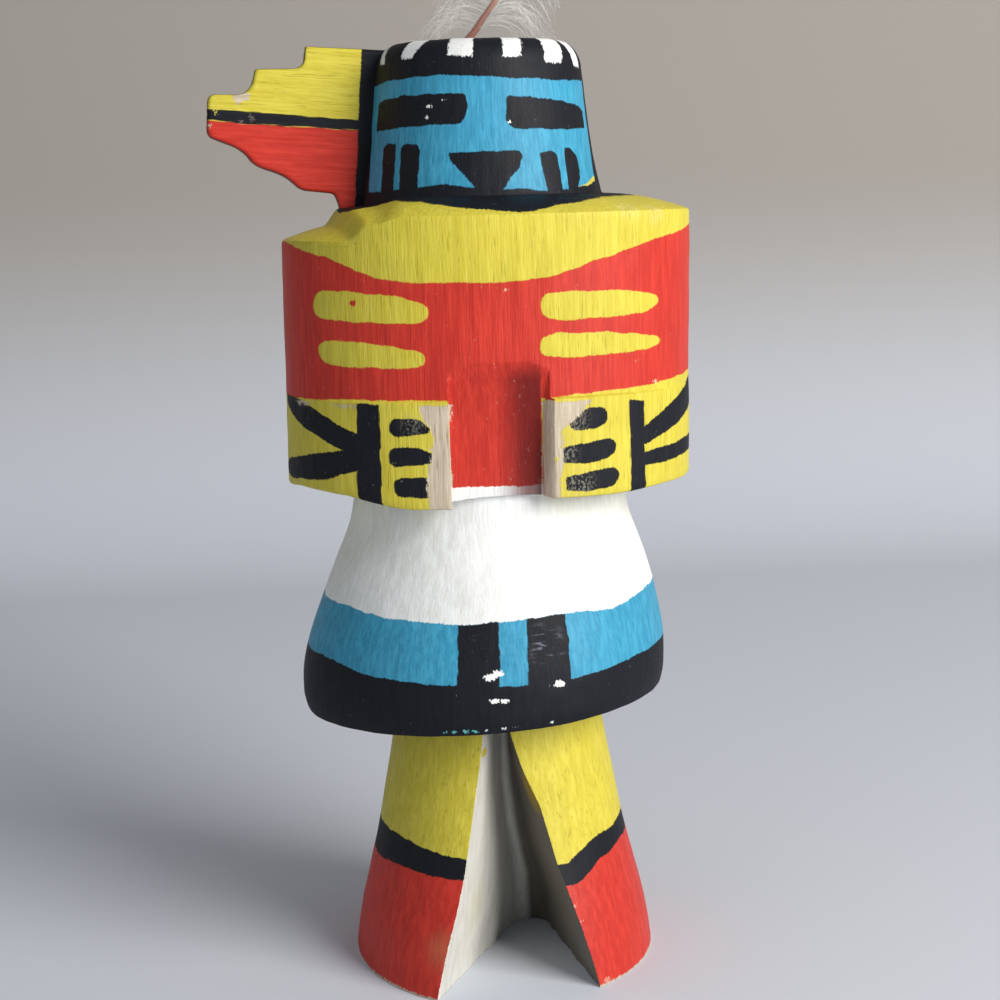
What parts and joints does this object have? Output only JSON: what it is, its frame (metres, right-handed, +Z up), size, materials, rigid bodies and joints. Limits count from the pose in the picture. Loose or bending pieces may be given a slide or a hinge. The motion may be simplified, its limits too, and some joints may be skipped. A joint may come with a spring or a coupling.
{
  "type": "kachina doll",
  "caption": "Small carved and painted wooden kachina doll: flared case mask with one stepped side wing, down plume, arms held to the chest, flared skirt and split legs it stands on.",
  "frame": {"origin": "centre of the whole doll's box at the level of its feet's underside", "axes": "+Z up along the doll, front towards -Y, the side wing towards -X"},
  "size_m": [0.0772, 0.0604, 0.18],
  "materials": {
    "painted_figure": "poster paint in red, yellow, blue, white and black over soft wood, grain showing, worn to bare wood at edges",
    "painted_wing": "poster paint in yellow, black and red over thin board",
    "down": "off-white down on a brown quill"
  },
  "bodies": {
    "root": {"figure": "painted_figure", "head_wing": "painted_wing", "plume": "down"}
  },
  "joints": []
}
